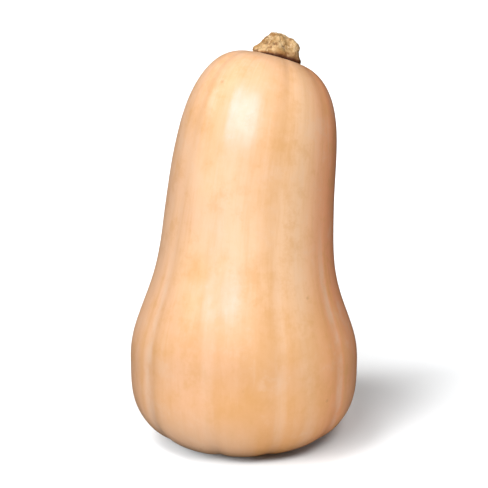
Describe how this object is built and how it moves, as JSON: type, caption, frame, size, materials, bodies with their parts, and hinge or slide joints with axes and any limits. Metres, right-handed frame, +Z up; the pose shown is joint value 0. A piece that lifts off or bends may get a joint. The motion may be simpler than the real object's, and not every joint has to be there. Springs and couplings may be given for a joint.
{
  "type": "butternut squash",
  "caption": "Whole butternut squash that stands on its blossom end, with a round bulb, a thick neck that leans over and a short corky stem stub.",
  "frame": {"origin": "middle of the small flat spot at the blossom end, which the fruit stands on", "axes": "+Z up from the blossom end to the stem; -Y faces the camera of the picture; +X is right in the picture, and the neck leans towards +X and +Y"},
  "size_m": [0.1191, 0.12, 0.2143],
  "materials": {
    "rind": "smooth waxy rind with a soft sheen, pale tan with faint streaks along the fruit",
    "cork": "dry, rough and corky, with brown cracks"
  },
  "bodies": {
    "root": {"fruit": "rind", "stem": "cork"}
  },
  "joints": []
}
